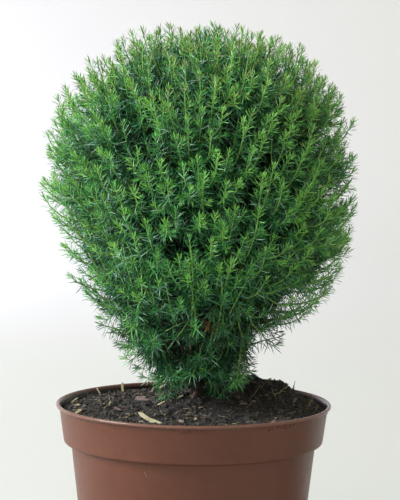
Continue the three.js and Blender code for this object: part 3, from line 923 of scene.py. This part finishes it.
for i in range(outer_sprays):
    point = crown_surface((i + 0.3) / outer_sprays, i * golden_angle)[0]
    low = lowness(point[2])
    inward = 0.0016 + min(0.026, 0.0062 * dice.exponential()) + held_back(point)
    if dice.random() < 0.03 and 0.06 < point[2] < 0.232:
        inward = -0.005
    line, span = grow_leader(point, inward)
    thinned = (0.25 if point[1] < -0.01 else 0.6) * (1 - ease(point[2], 0.02, 0.085))
    if dice.random() > thinned and not hides_trunk(line):
        add_spray(line, min(leafy_length, 0.85 * span), low)

# Inner sprays: older shoots along the boughs and the trunk fill the crown's inside, and shaded ones stand
# between them and the outer sprays.

for i in range(inner_sprays):
    path = mass_limbs[i % mass_count]["path"]
    root = path[int(len(path) * (0.22 + 0.77 * dice.random()))]
    direction = unit(unit(root - fork) + 0.65 * dice.normal(size=3) + (0, 0, 0.25))
    length = 0.022 + 0.026 * dice.random()
    tip = root + direction * length
    if depth_in_crown(tip) > 0.016 and tip[2] > 0.02:
        bent = 0.22 * length * unit(dice.normal(size=3))
        controls = [root, root + 0.3 * (tip - root) + bent, tip - 0.3 * direction * length, tip]
        add_spray(along_curve(controls, np.linspace(0, 1, 7)), 0.85 * length, lowness(tip[2]))

for i in range(shaded_sprays):
    point, facing = crown_surface((i + 0.7) / shaded_sprays, (i + 0.5) * golden_angle)
    from_axis = hypot(point[0] - crown_middle(point[2]), point[1])
    shallow = 0.019 - 0.008 * ease(point[2], 0.17, 0.23)
    shallow += max(0, held_back(point) - 0.014)
    point = point - facing * min(0.6 * from_axis + 0.004, shallow + 0.04 * dice.random())
    line, span = grow_leader(point)
    add_spray(line, min(shaded_leafy, 0.8 * span), lowness(point[2]))

# Climbers: long leaders that rise from the fork close under the surface of the crown's lower part, where
# their green stems show between the needles.

for i in range(climbers):
    turn = 0.9 + i * golden_angle
    top = 0.052 + 0.125 * ((0.618 * i) % 1)
    heights = np.linspace(0.02, top, 14)
    rising = np.linspace(0, 1, 14)
    under = 0.005 + 0.013 * dice.random() + held_back((0.05 * cos(turn), 0, 0.055))
    reach = outline_radius(heights) - under + 0.003 * rising - 0.006 * (1 - rising) ** 2
    sway = turn + 0.1 * np.sin(3 * rising + i)
    line = np.stack([crown_middle(heights) + reach * np.cos(sway), reach * np.sin(sway), heights], axis=1)
    low_end = line[0] + (fork - line[0]) * 0.8
    controls = [low_end, line[4], line[9], line[-1]]
    line = along_curve(controls, np.linspace(0, 1, 13))
    if not hides_trunk(line[2:]):
        add_spray(line, climber_leafy, 0.7 * lowness(top), 1.8)

# Hanging shoots: short ones round the trunk's foot and before the fork, whose long needles hang down.

for i in range(hanging_sprays):
    turn = i * golden_angle
    rising = 0.0
    if i % 3 == 0:
        turn = -pi / 2 + 2.2 * (dice.random() - 0.5)
        rising = 0.012
    out = np.array([cos(turn), sin(turn), 0])
    root = np.array([0.0006, 0, 0.014 + rising + 0.038 * dice.random()]) + 0.002 * out
    tip = root + out * (0.01 + rising + 0.02 * dice.random())
    tip[2] = max(0.006 + 0.003 * dice.random(), root[2] - 0.002 - 0.012 * dice.random())
    controls = [root, root + 0.007 * out, tip - 0.005 * out + (0, 0, 0.005), tip]
    line = along_curve(controls, np.linspace(0, 1, 9))
    if not hides_trunk(line[3:]):
        add_shoot(line, hanging_leafy, side_radius, 1.0)

# Low sprays: a few shoots that reach out nearly flat, past the crown's slim foot.

low_tips = np.array([
    (0.056, -0.018, 0.044),
    (0.02, 0.056, 0.038),
    (-0.066, -0.016, 0.051),
    (-0.03, 0.05, 0.036),
])
arch = np.array([0, 0, 0.01])
for tip in low_tips:
    root = tip * (0.3, 0.3, 0.55)
    run = tip - root
    controls = [root, root + 0.35 * run + 0.6 * arch, tip - 0.3 * run + 0.3 * arch, tip]
    add_spray(along_curve(controls, np.linspace(0, 1, 11)), low_leafy, 1.0, 1.5)

# Gap fillers: shaded sprays behind the deepest gap in front, so that it shows dim green and no bare stem.

front_gap = np.array([-0.014, -0.076, 0.106])
gap_offsets = [(0, 0, 0), (0.008, 0.006, 0.007), (-0.008, 0.004, -0.005), (0.003, 0.012, -0.008)]
for offset in gap_offsets:
    line, span = grow_leader(front_gap + offset)
    add_spray(line, min(shaded_leafy, 0.8 * span), 0.3)

# Stems: each leader is woody up to where its needles start, and green from there on, as side shoots are.

woody_lines = [
    along_curve([limb["entry"], limb["entry"], limb["middle"], limb["middle"]], np.linspace(0, 1, 4))
    for limb in mass_limbs
]
woody_radii = [np.linspace(0.0012, 0.0009, 4)] * len(woody_lines)
leader_lines, leader_radii, side_lines, side_radii = [], [], [], []
for shoot in shoots:
    line, lengths = shoot["line"], lengths_of(shoot["line"])
    behind = lengths[-1] - lengths
    thickness = tip_radius + (shoot["radius"] - tip_radius) * np.clip(behind / 0.03, 0, 1) ** 0.6
    if shoot["radius"] == green_radius:
        bare = max(2, int(np.sum(behind > shoot["leafy"])) + 1)
        woody_lines.append(line[:bare])
        woody_radii.append(np.linspace(woody_radius, thickness[bare - 1], bare))
        leader_lines.append(line[bare - 1:])
        leader_radii.append(thickness[bare - 1:])
    else:
        side_lines.append(line)
        side_radii.append(thickness)


def stem_piece(name, lines, radii, sides, finish):
    vertices, triangles = tube_arrays(lines, radii, sides)
    piece = piece_from_arrays(name, vertices + tree_foot, triangles)
    finish_piece(piece, finish)
    return piece


twig_tones = ((0.07, 0.055, 0.026), (0.05, 0.028, 0.018))
green_tones = ((0.24, 0.44, 0.095), (0.13, 0.27, 0.06))
twig_finish = cloudy_finish("woody twig bark", twig_tones, 200, 900, 2.4)
green_finish = cloudy_finish("green shoot bark", green_tones, 60, 400, 2.0, 0.5, 0.3)
stem_piece("woody_twigs", woody_lines, woody_radii, 5, twig_finish)
green_leaders = stem_piece("green_leaders", leader_lines, leader_radii, 4, green_finish)
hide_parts(*[f"foliage_{m + 1:02d}" for m in range(mass_count)])
stem_piece("side_shoots", side_lines, side_radii, 3, green_finish)

# Needles: soft, flat and pointed, in whorls of three. At a shoot's tip they are short, fresh green and lie
# forward, and further back they are longer, blue-green, and spread or curl down.

# The deep and dark greens are painted shade, dealt to needles deep in the crown and low down.
needle_colours = {
    "fresh": ((0.21, 0.5, 0.085), (0.13, 0.37, 0.068)),
    "bright": ((0.085, 0.34, 0.072), (0.046, 0.23, 0.054)),
    "mid": ((0.031, 0.193, 0.049), (0.016, 0.123, 0.033)),
    "blue": ((0.105, 0.3, 0.19), (0.048, 0.185, 0.112)),
    # Pale needles: glaucous bloom, and partly a painted highlight.
    "pale": ((0.3, 0.48, 0.36), (0.2, 0.38, 0.27)),
    "deep": ((0.012, 0.105, 0.029), (0.007, 0.064, 0.019)),
    "dark": ((0.007, 0.044, 0.015), (0.004, 0.024, 0.009)),
    "olive": ((0.2, 0.29, 0.058), (0.19, 0.18, 0.052)),
    "dead": ((0.42, 0.19, 0.07), (0.26, 0.11, 0.045)),
}
dead_patch = (0.008, -0.05, 0.057)
dead_reach = 0.0075
needle_length = 0.0047
needle_growth = 0.0024
young_spread = 22
spread_with_age = 51
needle_half_width = 0.00033
needle_base = 0.0002
needle_widest = 0.62
needle_arch = 0.0002
largest_piece = 30000
whorl_start = 0.0003
whorl_gap = 0.0011
shade_starts = 0.017
shade_full = 0.034


def whorls_on(shoot):
    """How far behind the shoot's tip its whorls stand: close at the tip, further apart in shade."""
    line, lengths = shoot["line"], lengths_of(shoot["line"])
    shade = ease(depth_in_crown(line), shade_starts, shade_full)
    rows, distance = [], whorl_start
    while distance < min(shoot["leafy"], lengths[-1] - 0.0008):
        rows.append(distance)
        thinner = 1 + 1.5 * np.interp(lengths[-1] - distance, lengths, shade)
        distance += (whorl_gap + 0.165 * min(distance, 0.011)) * thinner
    return np.array(rows)


def needles_on(shoot):
    """Each needle's foot, way out, way its tip bends, outer side, length, width, place and depth."""
    line, lengths = shoot["line"], lengths_of(shoot["line"])
    behind = whorls_on(shoot)
    at = lengths[-1] - behind
    foot, heading, flank, lift = (found_at(at, lengths, values) for values in (line, *frame_of(line)))
    depth = np.interp(at, lengths, depth_in_crown(line))
    larger = 1 + 0.8 * ease(depth, shade_starts, shade_full)
    first_turn = 2 * pi * dice.random()
    count = len(behind)
    parts = []
    old = np.clip(behind / 0.01, 0, 1)
    grown = needle_length + needle_growth * np.clip(behind / 0.006, 0, 1)
    for k in range(3):
        turn = first_turn + np.arange(count) * pi / 3 + k * 2 * pi / 3
        turn += 0.3 * dice.normal(size=count)
        out = np.cos(turn)[:, None] * flank + np.sin(turn)[:, None] * lift
        spread = young_spread + spread_with_age * old + 6 * shoot["low"]
        spread = np.radians(spread + (8 + 3 * old) * dice.normal(size=count))
        leaving = np.cos(spread)[:, None] * heading + np.sin(spread)[:, None] * out
        length = larger * grown * (0.8 + 0.4 * dice.random(count))
        length *= 1 + 0.25 * shoot["low"]
        droop = np.array([0, 0, -1.0]) * (0.03 + 0.5 * shoot["low"] * old[:, None])
        leaving = unit_rows(leaving + droop)
        ending = leaving + (0.06 + 0.08 * dice.normal(size=count))[:, None] * heading + 0.25 * droop
        width = needle_half_width * larger * (0.96 - 0.1 * old)
        parts.append((foot, leaving, ending, out, length, width, behind, depth))
    return [np.concatenate(values) for values in zip(*parts)]


def kinds_on(shoot, foot, behind, depth):
    """Each needle's colour by age, with painted shade deep in the crown and low down, and painted light at
    left and top.
    """
    count, low = len(behind), shoot["low"]
    high = ease(shoot["line"][-1][2], 0.17, 0.25)
    chance = dice.random(count)
    growing = shoot["vigour"] * (1 - 0.6 * low) * (1 + 0.7 * shoot["light"])
    age = (behind + 0.0012 * dice.normal(size=count)) / growing
    x, y, z = foot.T
    west = ease(-x, 0.03, 0.07)
    before = ease(-y, 0.01, 0.035) * ease(x, -0.04, -0.015) * ease(z, 0.022, 0.045)
    # Painted shade by depth, lowness and the low front; painted light at the top, on the left and in light
    # patches.
    deep = depth + 0.003 * dice.normal(size=count) + 0.015 * low - 0.005 * high - 0.013 * shoot["light"]
    deep += 0.012 * low * before + 0.0012 - 0.0045 * west * ease(z, 0.09, 0.15)
    # Painted light on the left, towards the window, and the low sprays' own blue: more blue-green needles.
    bluer = 0.2 + 0.26 * low + 0.16 * west
    kind = np.full(count, "mid", dtype="<U6")
    kind[(age < 0.009) & (deep < 0.016)] = "bright"
    kind[(age < 0.005) & (deep < 0.01)] = "fresh"
    kind[(age > 0.008) & (chance < bluer)] = "blue"
    # Pale needles only near the surface: glaucous bloom and a painted highlight.
    kind[(age > 0.008) & (chance < 0.07) & (deep < 0.024)] = "pale"
    kind[(deep > 0.02) & (chance > 0.15)] = "deep"
    kind[deep > 0.032] = "dark"
    kind[(age < 0.006) & (deep < 0.012) & (chance < 0.45 * high)] = "olive"
    kind[(norm(foot - dead_patch, axis=1) < dead_reach) & (chance < 0.75)] = "dead"
    return kind


needles = []
for shoot in shoots:
    *shape, behind, depth = needles_on(shoot)
    needles.append((*shape, kinds_on(shoot, shape[0], behind, depth)))
*shape, kind = (np.concatenate(values) for values in zip(*needles))


def needle_arrays(foot, leaving, ending, out, length, width):
    """Closed blades: narrow at the foot, arched, widest past the middle, and pointed."""
    ending = unit_rows(ending)
    side = np.cross(leaving, out)
    side /= norm(side, axis=1)[:, None] + 1e-9
    upper = np.cross(side, leaving)
    widest = foot + leaving * (needle_widest * length)[:, None] + upper * needle_arch
    tip = widest - upper * needle_arch + ending * ((1 - needle_widest) * length)[:, None]
    half, base = side * width[:, None], side * needle_base
    vertices = np.stack([foot - base, foot + base, widest - half, widest + half, tip], axis=1)
    faces = np.array([(0, 1, 3), (0, 3, 2), (2, 3, 4), (1, 0, 4), (1, 4, 3), (0, 2, 4)])
    triangles = faces[None] + 5 * np.arange(len(foot))[:, None, None]
    return vertices.reshape(-1, 3), triangles.reshape(-1, 3)


for name, tones in needle_colours.items():
    chosen = [values[kind == name] for values in shape]
    finish = cloudy_finish(f"{name} needles", tones, 90, 500, 2.5, 0.38, 0.55)
    for first in range(0, len(chosen[0]), largest_piece):
        vertices, triangles = needle_arrays(*(values[first:first + largest_piece] for values in chosen))
        title = f"needles_{name}_{first // largest_piece + 1}"
        finish_piece(piece_from_arrays(title, vertices + tree_foot, triangles, smooth=False), finish)

# Stage: a pale paper floor that curves up all round into a backdrop. A large soft window lights the plant from
# the left, the room behind the camera fills its shadows, and a lamp lifts the backdrop at the left.

floor_radius = 2.6
bend_radius = 1.6
bend_steps = 12
backdrop_height = 4.0
paper_near = (0.54, 0.54, 0.52, 1)
paper_far = (0.64, 0.64, 0.59, 1)


def backdrop():
    """The floor and its raised edge in one, with its faces turned inwards."""
    section = [(0, 0), (floor_radius, 0)]
    for step in range(1, bend_steps + 1):
        angle = pi / 2 * step / bend_steps
        section.append((floor_radius + bend_radius * sin(angle), bend_radius * (1 - cos(angle))))
    section.append((floor_radius + bend_radius, backdrop_height))
    bm = turned(section, steps=96, merged_within=1e-5)
    for face in bm.faces:
        face.normal_flip()
    return piece_from(bm, "backdrop")


floor = backdrop()
paper, tree, shader = new_finish("backdrop paper", 0.9)
where = add_node(tree, "TexCoord").outputs["Object"]
away = add_node(tree, "VectorMath", {0: where}, operation="LENGTH").outputs["Value"]
further = add_node(tree, "MapRange", {"Value": away, "From Min": 0.4, "From Max": floor_radius})
tree.links.new(mixed(tree, further.outputs["Result"], paper_near, paper_far), shader.inputs["Base Color"])
floor.data.materials.append(paper)
floor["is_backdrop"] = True


def soft_light(name, place, aim, size, power, colour):
    data = bpy.data.lights.new(name, "AREA")
    data.shape = "DISK"
    data.size = size
    data.energy = power
    data.color = colour
    light = new_object(name, data)
    light.location = place
    light.rotation_euler = (Vector(aim) - Vector(place)).to_track_quat("-Z", "Y").to_euler()
    light.visible_camera = False


crown_place = (0, 0, 0.25)
soft_light("window", (-2.4, -0.5, 1.7), crown_place, 1.5, 160, (0.915, 0.965, 1.0))
soft_light("room", (-0.9, -2.5, 1.9), crown_place, 2.2, 20, (1.0, 0.99, 0.92))
soft_light("backdrop lamp", (-1.5, 2.2, 1.1), (-0.8, 3.0, 0.1), 1.0, 46, (0.72, 0.7, 1.0))

world = bpy.data.worlds.new("sky")
world.use_nodes = True
world.node_tree.nodes["Background"].inputs["Color"].default_value = (1.0, 0.97, 0.8, 1)
world.node_tree.nodes["Background"].inputs["Strength"].default_value = 0.57
bpy.context.scene.world = world
bpy.context.scene.view_settings.view_transform = "Standard"

camera_place = (0.0034, -1.4, 0.378)
camera_pitch = radians(5.165)
camera_roll = radians(0.57)
camera_data = bpy.data.cameras.new("camera")
camera_data.lens = 147.5
camera_data.sensor_width = 36
camera = new_object("camera", camera_data)
facing = Matrix.Rotation(pi / 2 - camera_pitch, 4, "X") @ Matrix.Rotation(camera_roll, 4, "Z")
camera.matrix_world = Matrix.Translation(camera_place) @ facing
bpy.context.scene.camera = camera

low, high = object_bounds()
